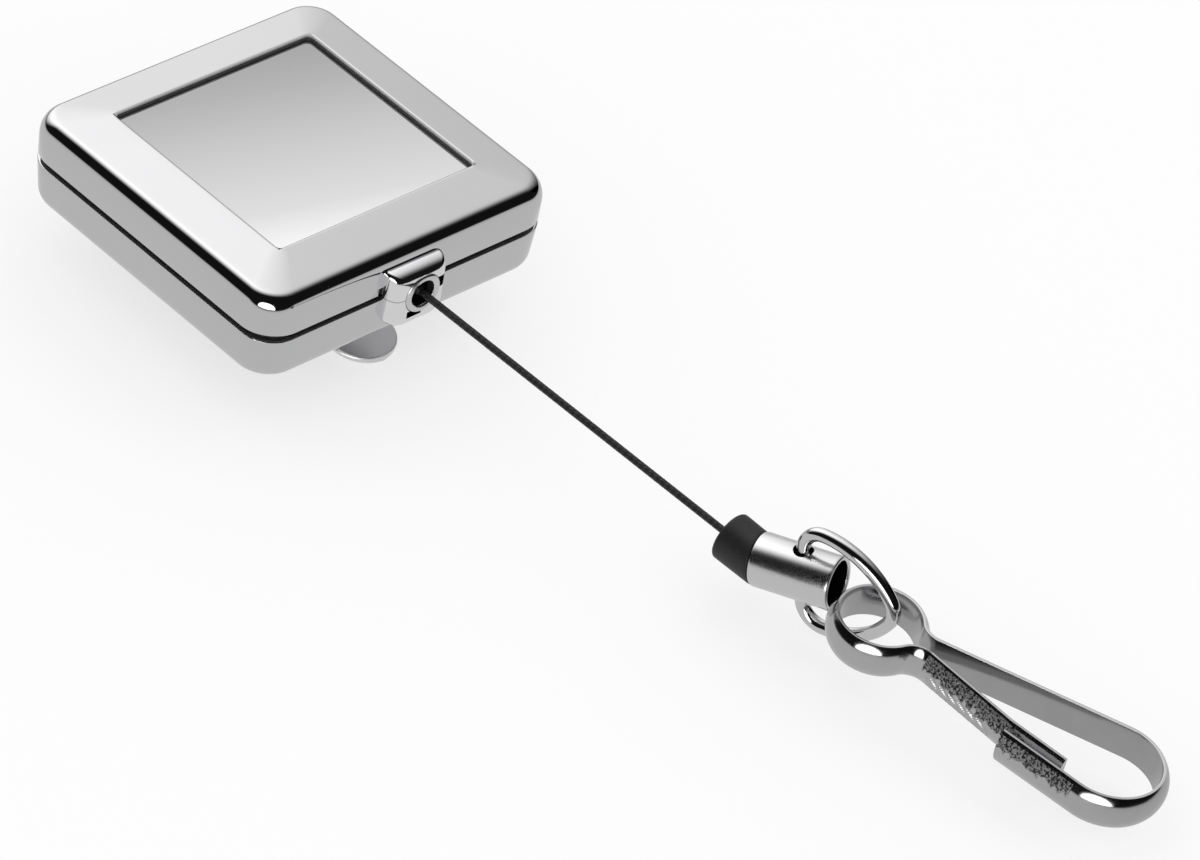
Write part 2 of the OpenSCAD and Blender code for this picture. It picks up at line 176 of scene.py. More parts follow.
def cut(obj, cutters):
    """Takes the cutters, closed objects, out of obj."""
    for cutter in cutters:
        modifier = obj.modifiers.new("cut", "BOOLEAN")
        modifier.operation = "DIFFERENCE"
        modifier.solver = "EXACT"
        modifier.object = cutter
    bpy.context.view_layer.update()
    evaluated = obj.evaluated_get(bpy.context.evaluated_depsgraph_get())
    mesh = bpy.data.meshes.new_from_object(evaluated)
    obj.modifiers.clear()
    obj.data = mesh
    for cutter in cutters:
        bpy.data.objects.remove(cutter)
    tidy_mesh(obj)


def cylinder(radius, start, end, end_radius=None, steps=64):
    """A throwaway closed cylinder or cone between two points, for cut()."""
    axis = (end - start).normalized()
    side = axis.orthogonal().normalized()
    up = side.cross(axis)
    loops = []
    for place, r in ((start, radius), (end, radius if end_radius is None else end_radius)):
        turns = [2 * math.pi * i / steps for i in range(steps)]
        loops.append([place + (side * math.cos(a) + up * math.sin(a)) * r for a in turns])
    return loft("cutter", loops, steel)


def block(low, high):
    """A throwaway box between two corners, for cut()."""
    (x0, y0, z0), (x1, y1, z1) = low, high
    square = ((x0, y0), (x1, y0), (x1, y1), (x0, y1))
    return loft("cutter", [[Vector((x, y, z)) for x, y in square] for z in (z0, z1)], steel)


def square_loop(half, radius, z, corner_steps=12, side_steps=8):
    """A square with round corners at height z, as a loop of points."""
    points = []
    straight = half - radius
    for quarter in range(4):
        turn = Matrix.Rotation(quarter * math.pi / 2, 3, "Z")
        corner = arc((straight, straight), radius, 0, math.pi / 2, corner_steps)
        flat = [(straight - 2 * straight * i / side_steps, half) for i in range(1, side_steps)]
        points += [turn @ Vector((x, y, z)) for x, y in corner + flat]
    return points


# Materials

def new_material(name):
    material = bpy.data.materials.new(name)
    material.use_nodes = True
    return material, material.node_tree.nodes, material.node_tree.links


def noise(nodes, links, scale, detail=3.0):
    """A noise texture in object space, with scale in features per metre."""
    place = nodes.new("ShaderNodeTexCoord")
    texture = nodes.new("ShaderNodeTexNoise")
    texture.inputs["Scale"].default_value = scale
    texture.inputs["Detail"].default_value = detail
    links.new(place.outputs["Object"], texture.inputs["Vector"])
    return texture.outputs["Fac"]


def ranged(nodes, links, value, low, high, at_low=0.0, at_high=1.0, smooth=False):
    """Maps a value socket from at_low..at_high to low..high."""
    node = nodes.new("ShaderNodeMapRange")
    node.interpolation_type = "SMOOTHSTEP" if smooth else "LINEAR"
    node.inputs["From Min"].default_value = at_low
    node.inputs["From Max"].default_value = at_high
    node.inputs["To Min"].default_value = low
    node.inputs["To Max"].default_value = high
    links.new(value, node.inputs["Value"])
    return node.outputs["Result"]


def combined(nodes, links, operation, *values):
    """A maths node over sockets and numbers."""
    node = nodes.new("ShaderNodeMath")
    node.operation = operation
    for slot, value in zip(node.inputs, values):
        if isinstance(value, (int, float)):
            slot.default_value = value
        else:
            links.new(value, slot)
    return node.outputs[0]


def length_along(nodes, links, vector, direction):
    """The length of a vector socket along a fixed direction."""
    node = nodes.new("ShaderNodeVectorMath")
    node.operation = "DOT_PRODUCT"
    node.inputs[1].default_value = direction
    links.new(vector, node.inputs[0])
    return node.outputs["Value"]


def add_bump(nodes, links, value, distance, strength=1.0):
    bump = nodes.new("ShaderNodeBump")
    bump.inputs["Distance"].default_value = distance
    bump.inputs["Strength"].default_value = strength
    links.new(value, bump.inputs["Height"])
    links.new(bump.outputs["Normal"], nodes["Principled BSDF"].inputs["Normal"])


def mixed_color(nodes, links, factor, low, high):
    mix = nodes.new("ShaderNodeMix")
    mix.data_type = "RGBA"
    mix.inputs["A"].default_value = (*low, 1)
    mix.inputs["B"].default_value = (*high, 1)
    links.new(factor, mix.inputs["Factor"])
    return mix.outputs["Result"]


def metal(name, dark, light, roughness, wear_scale, bump_scale, bump_height):
    """A metal whose colour, roughness and surface vary a little. Dark and light are its grey levels."""
    material, nodes, links = new_material(name)
    shader = nodes["Principled BSDF"]
    shader.inputs["Metallic"].default_value = 1
    wear = noise(nodes, links, wear_scale, 4)
    color = mixed_color(nodes, links, wear, (dark, dark, dark * 1.015), (light, light, light * 1.01))
    links.new(color, shader.inputs["Base Color"])
    rough = ranged(nodes, links, wear, roughness[0], roughness[1], 0.3, 0.7)
    links.new(rough, shader.inputs["Roughness"])
    add_bump(nodes, links, noise(nodes, links, bump_scale, 2), bump_height)
    return material


def soft(name, dark, light, roughness, scale, bump_height):
    """A rubber, plastic or fabric with a fine uneven surface."""
    material, nodes, links = new_material(name)
    shader = nodes["Principled BSDF"]
    grain = noise(nodes, links, scale, 5)
    links.new(mixed_color(nodes, links, grain, dark, light), shader.inputs["Base Color"])
    links.new(ranged(nodes, links, grain, *roughness), shader.inputs["Roughness"])
    add_bump(nodes, links, grain, bump_height)
    return material


def turned_metal(name, axis, dark, light, roughness):
    """A metal with fine turning marks round an axis."""
    material, nodes, links = new_material(name)
    shader = nodes["Principled BSDF"]
    shader.inputs["Metallic"].default_value = 1
    place = nodes.new("ShaderNodeTexCoord")
    marks = nodes.new("ShaderNodeTexNoise")
    marks.noise_dimensions = "1D"
    marks.inputs["Scale"].default_value = 9000
    marks.inputs["Detail"].default_value = 3
    links.new(length_along(nodes, links, place.outputs["Object"], axis), marks.inputs["W"])
    color = mixed_color(nodes, links, marks.outputs["Fac"], (dark,) * 3, (light,) * 3)
    links.new(color, shader.inputs["Base Color"])
    links.new(ranged(nodes, links, marks.outputs["Fac"], *roughness), shader.inputs["Roughness"])
    add_bump(nodes, links, marks.outputs["Fac"], 8e-6)
    return material


chrome = metal("case_chrome", 0.62, 0.65, (0.03, 0.06), 120, 300, 1.2e-6)
steel = metal("turned_steel", 0.42, 0.55, (0.25, 0.38), 900, 4000, 4e-6)
spring_steel = metal("spring_steel", 0.16, 0.24, (0.3, 0.45), 500, 3000, 5e-6)
screw_steel = metal("screw_steel", 0.45, 0.58, (0.18, 0.3), 1500, 6000, 3e-6)
clip_chrome = metal("clip_chrome", 0.72, 0.8, (0.34, 0.46), 250, 2500, 3e-6)
wire_chrome = metal("wire_chrome", 0.62, 0.7, (0.04, 0.08), 400, 1500, 1e-6)
strip_nickel = metal("strip_nickel", 0.48, 0.56, (0.1, 0.16), 350, 2200, 3e-6)
pressed_nickel = metal("pressed_nickel", 0.52, 0.66, (0.12, 0.2), 900, 2600, 2e-5)
ferrule_nickel = turned_metal("ferrule_nickel", ferrule_dir, 0.64, 0.74, (0.18, 0.3))
shadow_steel = metal("shadow_steel", 0.01, 0.02, (0.4, 0.6), 400, 900, 4e-6)
# Painted shade: a darker copy of the strip nickel, for the flat inside faces of the hook's strips.
shaded_inner_nickel = metal("shaded_inner_nickel", 0.38, 0.45, (0.12, 0.2), 350, 2200, 3e-6)
rubber = soft("black_rubber", (0.003, 0.003, 0.0035), (0.009, 0.009, 0.01), (0.4, 0.6), 2600, 2e-5)
braid = soft("black_braid", (0.002, 0.002, 0.0025), (0.012, 0.012, 0.013), (0.35, 0.6), 6000, 3e-5)
gap_shade = soft("gap_shade", (0.06, 0.06, 0.06), (0.09, 0.09, 0.09), (0.6, 0.8), 900, 4e-6)
# Painted highlight: a pale diffuse grey for the far lip faces round the window, standing in for light on the
# chrome there.
lip_painted_highlight = soft("lip_painted_highlight", (0.42, 0.42, 0.42), (0.48, 0.48, 0.48), (0.4, 0.5), 900, 2e-6)
acetal = soft("white_acetal", (0.72, 0.72, 0.7), (0.82, 0.82, 0.8), (0.3, 0.45), 700, 8e-6)
foam = soft("white_foam", (0.7, 0.7, 0.68), (0.85, 0.85, 0.83), (0.7, 0.9), 4000, 5e-5)
# Painted light: a brighter copy of the case chrome for the nozzle block, so that its top bar shows a brighter
# highlight.
lit_nozzle_chrome = metal("lit_nozzle_chrome", 0.84, 0.9, (0.05, 0.09), 300, 900, 2e-6)
eyelet_chrome = metal("eyelet_chrome", 0.66, 0.74, (0.22, 0.3), 500, 2500, 2e-6)


def mirror_plate():
    """A mirror plate with a painted reflection: its grey runs from dark at the far corner to light at the
    near one.
    """
    material, nodes, links = new_material("mirror_plate")
    shader = nodes["Principled BSDF"]
    shader.inputs["Metallic"].default_value = 1
    place = nodes.new("ShaderNodeTexCoord")
    distance = length_along(nodes, links, place.outputs["Object"], (-0.25, -0.97, 0))
    ramp = nodes.new("ShaderNodeValToRGB")
    stops = ramp.color_ramp.elements
    stops[0].color = (0.35, 0.35, 0.35, 1)
    stops[1].color = (0.90, 0.90, 0.90, 1)
    for position, grey in ((0.2, 0.42), (0.5, 0.56), (0.8, 0.68)):
        stops.new(position).color = (grey, grey, grey, 1)
    links.new(ranged(nodes, links, distance, 0, 1, -16.5 * MM, 16.5 * MM), ramp.inputs["Fac"])
    links.new(ramp.outputs["Color"], shader.inputs["Base Color"])
    rough = ranged(nodes, links, noise(nodes, links, 300), 0.04, 0.08)
    links.new(rough, shader.inputs["Roughness"])
    return material


def grain_and_reflection_metal():
    """Strip metal with a pressed grain over the upper part of its width, ending in a ragged edge; the band is
    painted near black there as a painted dark reflection.
    """
    material, nodes, links = new_material("grain_and_painted_reflection")
    shader = nodes["Principled BSDF"]
    shader.inputs["Metallic"].default_value = 1
    place = nodes.new("ShaderNodeTexCoord")
    across = length_along(nodes, links, place.outputs["Object"], hook_normal)
    level = combined(nodes, links, "SUBTRACT", across, ring_place.dot(hook_normal))
    ragged = combined(nodes, links, "MULTIPLY", noise(nodes, links, 1300, 4), 2.6 * MM)
    height = combined(nodes, links, "ADD", level, ragged)
    band = ranged(nodes, links, height, 0, 1, 1.45 * MM, 1.75 * MM, smooth=True)
    pits = ranged(nodes, links, noise(nodes, links, 4200, 3), 0, 1, 0.38, 0.62, smooth=True)
    grain_and_reflection_color = mixed_color(nodes, links, pits, (0.03, 0.03, 0.03), (0.42, 0.42, 0.42))
    mix = nodes.new("ShaderNodeMix")
    mix.data_type = "RGBA"
    mix.inputs["A"].default_value = (0.52, 0.52, 0.525, 1)
    links.new(grain_and_reflection_color, mix.inputs["B"])
    links.new(band, mix.inputs["Factor"])
    links.new(mix.outputs["Result"], shader.inputs["Base Color"])
    links.new(ranged(nodes, links, band, 0.12, 0.3), shader.inputs["Roughness"])
    add_bump(nodes, links, combined(nodes, links, "MULTIPLY", pits, band), 1e-4)
    return material


grain_and_painted_reflection = grain_and_reflection_metal()
plate_mirror = mirror_plate()
NODE_MATERIALS = {
    "front_cover": chrome, "rear_cover": chrome, "face_plate": plate_mirror, "face_adhesive": foam,
    "cord_eyelet": eyelet_chrome, "spindle": steel, "front_washer": acetal, "rear_washer": acetal,
    "case_screws": screw_steel, "clip_base": clip_chrome, "clip_rivets": screw_steel,
    "clip_tongue": clip_chrome, "spool": acetal, "spring_cover": steel, "mainspring": spring_steel,
    "wound_cord": braid, "anchor_knot": braid, "cord_inner": braid, "cord_throat": braid,
    "cord_lead": braid, "cord_run": braid, "bumper": rubber, "end_knot": braid,
    "ferrule": ferrule_nickel, "bail": wire_chrome, "hook_body": strip_nickel, "hook_gate": strip_nickel,
}
for node, material in NODE_MATERIALS.items():
    mesh = frame["nodes"][node].data
    mesh.materials.clear()
    mesh.materials.append(material)


# Case

def front_shell():
    """The front shell as one closed skin: from the roof inside, round the rim and over the outside to the
    window. A row of the profile is (half width, corner radius, height)."""
    roof, window_floor, rim, top = 9.95 * MM, 10.75 * MM, 6.3 * MM, 12 * MM
    lip_half, lip_bottom, lip_wall = 18.75 * MM, 4.7 * MM, 0.45 * MM
    edge, shade_line, window_half = 0.12 * MM, 11.7 * MM, 13.5 * MM
    inside = CASE_HALF - WALL - 0.6 * MM
    round_over = bezier((19.9, 3.48, 8.7), (19.86, 3.4, 10.1), (19.3, 3.3, 11.0), (18.5, 2.8, 11.12), 14)
    frame_rows = [(18.5 - 4.6 * i / 10, 2.8 - 1.5 * i / 10, 11.12 + 0.86 * i / 10) for i in range(1, 10)]
    profile = [
        (2 * MM, 1 * MM, roof), (inside, 2.3 * MM, roof), (inside, 2.3 * MM, rim),
        (lip_half - lip_wall, 2.45 * MM, rim), (lip_half - lip_wall, 2.45 * MM, lip_bottom),
        (lip_half, CORNER - WALL, lip_bottom), (lip_half, CORNER - WALL, rim),
        (CASE_HALF - edge, CORNER - edge, rim), (CASE_HALF - edge * 0.3, CORNER, rim + edge * 0.3),
        (CASE_HALF, CORNER, rim + edge),
    ]
    profile += [(w * MM, r * MM, z * MM) for w, r, z in round_over + frame_rows]
    profile += [
        (13.86 * MM, 0.95 * MM, top - 0.02 * MM), (13.74 * MM, 0.85 * MM, top),
        (13.62 * MM, 0.75 * MM, top - 0.02 * MM), (window_half, 0.65 * MM, top - 0.1 * MM),
        (window_half, 0.65 * MM, shade_line), (window_half, 0.65 * MM, window_floor),
        (2 * MM, 1 * MM, window_floor),
    ]
    shell = loft("front_shell", [square_loop(*row) for row in profile], chrome)
    # Painted shade and highlight: the gap under the rim, the rim's edge, the window walls below the shade
    # line and the near lip get the dark gap_shade; the far lip above the shade line gets the pale painted
    # highlight.
    shell.data.materials.append(gap_shade)
    shell.data.materials.append(lip_painted_highlight)
    for face in shell.data.polygons:
        centre = face.center
        reach = max(abs(centre.x), abs(centre.y))
        in_gap = reach < lip_half + 0.5 * MM and centre.z < rim + 0.05 * MM
        in_window = reach < window_half + 0.1 * MM and centre.z > window_floor
        near_lip = in_window and min(centre.x, centre.y) < -window_half + 0.05 * MM
        if in_window and centre.z > shade_line and not near_lip:
            face.material_index = 2
        elif in_gap or in_window or rim - edge < centre.z < rim + edge * 0.2:
            face.material_index = 1
    slot = ((-4.75 * MM, -20.5 * MM, rim - 0.1 * MM), (-4.1 * MM, -19.6 * MM, rim + 0.95 * MM))
    cut(shell, [block(*slot)])
    darken(shell, [slot])
    return shell


def darken(piece, boxes):
    """Gives the faces inside the boxes the piece's second, dark material."""
    slack = 0.001 * MM
    for face in piece.data.polygons:
        for low, high in boxes:
            if all(low[n] - slack <= face.center[n] <= high[n] + slack for n in range(3)):
                face.material_index = 1


def rear_shell():
    """The rear shell as one closed skin, with countersinks for its screws and a hole for the spindle."""
    floor, rim = 1.2 * MM, 5.6 * MM
    edge = 0.12 * MM
    inside = CASE_HALF - WALL
    side = [(20 - 0.24 * i / 4, 4, 5.48 - 3.3 * i / 4) for i in range(5)]
    round_under = bezier((19.76, 4, 2.18), (19.7, 3.9, 0.9), (19.1, 3.4, 0.1), (17.6, 2.6, 0), 12)
    profile = [
        (2 * MM, 1 * MM, floor), (inside, CORNER - WALL, floor), (inside, CORNER - WALL, rim),
        (CASE_HALF - edge, CORNER - edge, rim), (CASE_HALF - edge * 0.3, CORNER, rim - edge * 0.3),
    ]
    profile += [(w * MM, r * MM, z * MM) for w, r, z in side + round_under[1:]]
    profile += [(2 * MM, 1 * MM, 0)]
    shell = loft("rear_shell", [square_loop(*row) for row in profile], chrome)
    cutters = [cylinder(2 * MM, Vector((0, 0, -1 * MM)), Vector((0, 0, 2 * MM)))]
    screws_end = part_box("case_screws")[1]
    screw_head, screw_hole, countersink, head_depth = 1.4 * MM, 0.9 * MM, 1.45 * MM, 0.72 * MM
    place = screws_end.x - screw_head
    for x in (-place, place):
        for y in (-place, place):
            mouth = Vector((x, y, -0.02 * MM))
            cutters.append(cylinder(countersink, mouth, mouth + Z * head_depth, screw_hole))
            cutters.append(cylinder(screw_hole, mouth, mouth + Z * 3 * MM))
    cut(shell, cutters)
    return shell


def nozzle(parting):
    """The block around the cord's exit, as a front half above the parting height and a rear half below it."""
    middle_x, half_w = -0.2 * MM, 3.9 * MM
    top, bottom = 9.2 * MM, 1.9 * MM
    front, back = -21.75 * MM, -18.95 * MM
    bend, bend_length = 1.25 * MM, 1.95 * MM
    loops = []
    rows = [math.pi / 2 * i / 12 for i in range(13)]
    depths = [(bend * (1 - math.sin(a)), front + bend_length * (1 - math.cos(a))) for a in rows]
    depths.append((0, back))
    steps = 10
    for inset, y in depths:
        low_inset = inset * 0.9
        left, right = middle_x - half_w + inset, middle_x + half_w - inset
        high, low = top - inset, bottom + low_inset
        r_high, r_low = 0.55 * MM + 0.3 * inset, 2.0 * MM - 0.6 * inset
        outline = arc((right - r_high, high - r_high), r_high, 0, math.pi / 2, steps)
        outline += arc((left + r_high, high - r_high), r_high, math.pi / 2, math.pi, steps)
        outline += arc((left + r_low, low + r_low), r_low, math.pi, 1.5 * math.pi, steps)
        outline += arc((right - r_low, low + r_low), r_low, 1.5 * math.pi, 2 * math.pi, steps)
        loops.append([Vector((x, y, z)) for x, z in outline])
    halves = []
    split, bore_r = 0.03 * MM, 2.36 * MM
    for name, sign in (("nozzle_front_half", 1), ("nozzle_rear_half", -1)):
        # Painted light: each half gets the brighter copy of the case chrome.
        half = loft(name, loops, lit_nozzle_chrome)
        bm = bmesh.new()
        bm.from_mesh(half.data)
        everything = bm.verts[:] + bm.edges[:] + bm.faces[:]
        plane = Vector((0, 0, parting + sign * split))
        result = bmesh.ops.bisect_plane(bm, geom=everything, plane_co=plane, plane_no=Z * -sign,
                                        clear_outer=True)
        edges = [e for e in result["geom_cut"] if isinstance(e, bmesh.types.BMEdge)]
        bmesh.ops.holes_fill(bm, edges=edges)
        bm.to_mesh(half.data)
        bm.free()
        halves.append(half)
    centre = Vector((0, 0, parting))
    far, near = Vector((0, -17 * MM, 0)), Vector((0, -23 * MM, 0))
    for half in halves:
        bore = cylinder(bore_r, centre + far, centre + near)
        right = ((1.9 * MM, -23 * MM, parting - 0.1 * MM), (3.15 * MM, -21.0 * MM, parting + 1.3 * MM))
        below = ((-1.9 * MM, -23 * MM, parting - 2.65 * MM), (0.1 * MM, -21.0 * MM, parting - 1.8 * MM))
        inside = ((-2.4 * MM, -21.6 * MM, parting - 2.4 * MM), (2.4 * MM, -17 * MM, parting + 2.4 * MM))
        half.data.materials.append(shadow_steel)
        cut(half, [bore, block(*right), block(*below)])
        darken(half, [right, below, inside])
    return halves


def eyelet():
    """The bright ring that lines the cord's exit, with painted shade inside its bore."""
    bore, outer, mouth = 1.15 * MM, 2.32 * MM, 1.52 * MM
    back, front, crown = 18.3 * MM, 21.98 * MM, 0.28 * MM
    middle, half = (outer + mouth) / 2, (outer - mouth) / 2
    profile = [(bore, back), (bore, front - 0.8 * MM), (mouth, front - crown - 0.05 * MM)]
    turns = [math.pi * (1 - i / 12) for i in range(13)]
    profile += [(middle + half * math.cos(a), front - crown * (1 - math.sin(a))) for a in turns]
    profile += [(outer, back)]
    ring = lathe("eyelet_ring", profile, Vector((0, 0, eyelet_place.z)), Vector((0, -1, 0)), eyelet_chrome)
    ring.data.materials.append(shadow_steel)
    for face in ring.data.polygons:
        if math.hypot(face.center.x, face.center.z - eyelet_place.z) < mouth:
            face.material_index = 1
    return ring


case_pieces = {"front_shell": front_shell(), "rear_shell": rear_shell(), "eyelet_ring": eyelet()}
nozzle_halves = nozzle(eyelet_place.z)
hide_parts("front_cover")
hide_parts("rear_cover")
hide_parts("cord_eyelet")
for piece in list(case_pieces.values()) + nozzle_halves:
    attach(piece, "case")


# Cord, bumper and ferrule

def cord_frame(direction):
    side = direction.cross(Z).normalized()
    return side, side.cross(direction)


def braided_cord(name, start, end, material, pitch=1.5 * MM, strands=8):
    """A cord whose strands cross over and under one another along its length."""
    side, up = cord_frame(cord_dir)
    base, rise = 0.93, 0.09
    around, length = 32, (end - start).length
    rings = max(6, round(length / (0.12 * MM)))
    loops = []
    for i in range(rings + 1):
        along = length * i / rings
        loop = []
        for j in range(around):
            a = 2 * math.pi * j / around
            one = math.sin(strands / 2 * (a + 2 * math.pi * along / pitch / strands * 4))
            other = math.sin(strands / 2 * (a - 2 * math.pi * along / pitch / strands * 4))
            radius = CORD_R * (base + rise * max(one, other))
            loop.append(start + cord_dir * along + (side * math.cos(a) + up * math.sin(a)) * radius)
        loops.append(loop)
    return loft(name, loops, material, sharp=math.radians(80))


def bumper_piece():
    """The rubber stop. Its front is square to the cord and its rear sits square on the ferrule."""
    length, front_r, back_r, edge = 4.1 * MM, 2.72 * MM, 2.84 * MM, 0.35 * MM
    start, hole = ferrule_place - cord_dir * length, CORD_R + 0.04 * MM
    outline = [(0.0, hole)]
    outline += [(edge / length * (1 - math.sin(a)), front_r - edge * (1 - math.cos(a)))
                for a in [math.pi / 2 * i / 8 for i in range(8, -1, -1)]]
    outline += [(t, front_r + (back_r - front_r) * t ** 3) for t in (0.2, 0.35, 0.5, 0.65, 0.8, 0.9, 0.97)]
    outline += [(1.0, back_r - 0.03 * MM), (1.0, hole)]
    around = 72
    loops = [[] for _ in range(around)]
    for t, r in outline:
        lean = max(0.0, (t - 0.1) / 0.9)
        direction = cord_dir.lerp(ferrule_dir, lean).normalized()
        side, up = cord_frame(direction)
        for i in range(around):
            a = 2 * math.pi * i / around
            loops[i].append(start + cord_dir * length * t + (side * math.cos(a) + up * math.sin(a)) * r)
    return loft("bumper_stop", loops, rubber, closed=True)


def ferrule_tube():
    """The ferrule: a thin tube, closed at the cord's end, with a rolled rim and two cross holes."""
    wall, end_wall, hole, rim = 0.5 * MM, 0.8 * MM, 0.6 * MM, 0.26 * MM
    inner = FERRULE_R - wall
    profile = [(hole, 0.05 * MM), (FERRULE_R - 0.3 * MM, 0.05 * MM), (FERRULE_R - 0.08 * MM, 0.13 * MM),
               (FERRULE_R, 0.35 * MM), (FERRULE_R, FERRULE_LENGTH - 0.9 * MM),
               (FERRULE_R + 0.02 * MM, FERRULE_LENGTH - 0.6 * MM)]
    profile += arc((FERRULE_R - rim + 0.04 * MM, FERRULE_LENGTH - rim), rim, 0, math.pi, 12)
    profile += [(inner, FERRULE_LENGTH - 0.5 * MM), (inner, end_wall), (hole, end_wall)]
    tube = lathe("ferrule_tube", profile, ferrule_place, ferrule_dir, ferrule_nickel)
    hole_r, reach = 1.1 * MM, 5 * MM
    cut(tube, [cylinder(hole_r, bail_place - bail_axis * reach, bail_place + bail_axis * reach)])
    tube.data.materials.append(shadow_steel)
    for face in tube.data.polygons:
        place = face.center - ferrule_place
        if (place - ferrule_dir * place.dot(ferrule_dir)).length < inner + 0.02 * MM:
            face.material_index = 1
    return tube


lead_end = 3.2 * MM
lead = braided_cord("cord_lead_braid", eyelet_place + cord_dir * 0.2 * MM,
                    eyelet_place + cord_dir * lead_end, braid)
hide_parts("cord_lead")
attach(lead, "cord_lead")
run = braided_cord("cord_run_braid", eyelet_place + cord_dir * (lead_end - 0.05 * MM),
                   ferrule_place - cord_dir * 0.4 * MM, braid)
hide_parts("cord_run")
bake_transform(run)
stop = bumper_piece()
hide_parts("bumper")
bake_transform(stop)
tube = ferrule_tube()
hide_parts("ferrule")
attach(tube, "ferrule")


# Bail

def bail_wire():
    """Round wire: a leg in each cross hole, a tight bend, a long bowed side and a round apex."""
    half, length, leg_bend, apex_r, leg_end = 5.7 * MM, 11.2 * MM, 2.6 * MM, 2.2 * MM, 1.7 * MM
    run = length - apex_r - leg_bend
    side_r = (run ** 2 + half ** 2 - apex_r ** 2) / (2 * (half - apex_r))
    side_angle = math.atan2(side_r - half, run)
    upper = [(0, leg_end), (0, leg_end + 0.8 * MM)]
    upper += arc((leg_bend, half - leg_bend), leg_bend, math.pi, math.pi / 2, 12)
    upper += arc((leg_bend, half - side_r), side_r, math.pi / 2, side_angle, 16)[1:]
    upper += arc((length - apex_r, 0), apex_r, side_angle, 0, 12)[1:]
    path = upper + [(along, -height) for along, height in upper[-2::-1]]
    out = Matrix.Rotation(-BAIL_TURN, 3, bail_axis) @ ferrule_dir
    return wire("bail_wire", [bail_place + out * along + bail_axis * height for along, height in path],
                out.cross(bail_axis), WIRE_R, wire_chrome)


def wire(name, path, normal, radius, material, around=40):
    """Round wire along a flat path."""
    loops = []
    last = len(path) - 1
    turns = [2 * math.pi * j / around for j in range(around)]
    for i, place in enumerate(path):
        tangent = (path[min(i + 1, last)] - path[max(i - 1, 0)]).normalized()
        side = normal.cross(tangent).normalized()
        loops.append([place + (normal * math.cos(a) + side * math.sin(a)) * radius for a in turns])
    return loft(name, loops, material, sharp=math.radians(60))


bail_piece = bail_wire()
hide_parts("bail")
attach(bail_piece, "bail")


# Snap hook: half-round strip, flat inside and crowned outside, bent in the hook's plane

level = Vector((math.sin(HOOK_YAW), -math.cos(HOOK_YAW), 0))
hook_along = (level - hook_normal * level.dot(hook_normal)).normalized()
hook_left = hook_normal.cross(hook_along)
RING_MID = 4.3 * MM + STRIP_T / 2
NECK_R = 2 * MM
BACK_ANGLE, BACK_OFFSET = math.radians(2.7), 0.64 * MM
GATE_ANGLE, GATE_OFFSET = math.radians(19.2), -0.25 * MM
GATE_ROOT, GATE_KNEE, GATE_TIP, KNEE_ANGLE = 6.4 * MM, 17.9 * MM, 7 * MM, math.radians(6.1)
HOOK_REACH, TURN_R, TURN_SWEEP, NOSE = 27.4 * MM, 5.8 * MM, math.radians(195.2), 9.6 * MM


def unit(a):
    return Vector((math.cos(a), math.sin(a)))


def path_arc(centre, radius, start, stop):
    """A stretch of path: places with the direction to their outside, left of a clockwise run."""
    steps = max(2, math.ceil(abs(stop - start) * radius / (0.25 * MM)))
    out = 1 if start > stop else -1
    angles = [start + (stop - start) * i / steps for i in range(steps + 1)]
    return [(Vector(centre) + radius * unit(a), out * unit(a)) for a in angles]


def turned(path, angle):
    turn = Matrix.Rotation(angle, 2)
    return [(turn @ place, turn @ out) for place, out in path]


def mirrored_back(path):
    return [(Vector((p.x, -p.y)), Vector((o.x, -o.y))) for p, o in reversed(path)]


def neck_angle(offset):
    return math.asin((offset + NECK_R) / (RING_MID + NECK_R))


def neck_path(offset):
    centre = ((RING_MID + NECK_R) * math.cos(neck_angle(offset)), offset + NECK_R)
    return path_arc(centre, NECK_R, math.pi + neck_angle(offset), 1.5 * math.pi)


def straight(start, end, out, step=0.25 * MM):
    count = max(1, round((end - start).length / step))
    return [(start.lerp(end, i / count), out) for i in range(count + 1)]


def half_round(crown_side=1, land=0.34 * MM, steps=22):
    """The strip's section as (outward, across). It is flat inside and crowned outside, with a short land at
    each edge."""
    w, t, corner = STRIP_W / 2, STRIP_T / 2, 0.1 * MM
    section = [(-t, -w + corner), (-t + corner * 0.3, -w + corner * 0.3), (-t + corner, -w)]
    rise = 2 * t - land
    crown_r = (w ** 2 + rise ** 2) / (2 * rise)
    for i in range(steps + 1):
        across = -w * math.cos(math.pi * i / steps)
        section.append((t - crown_r + math.sqrt(crown_r ** 2 - across ** 2), across))
    section += [(-t + corner, w), (-t + corner * 0.3, w - corner * 0.3), (-t, w - corner)]
    return [(crown_side * out, across) for out, across in section]


def hook_point(flat, out, outward, across):
    spot = flat + out * outward
    return ring_place + hook_along * spot.x + hook_left * spot.y + hook_normal * across


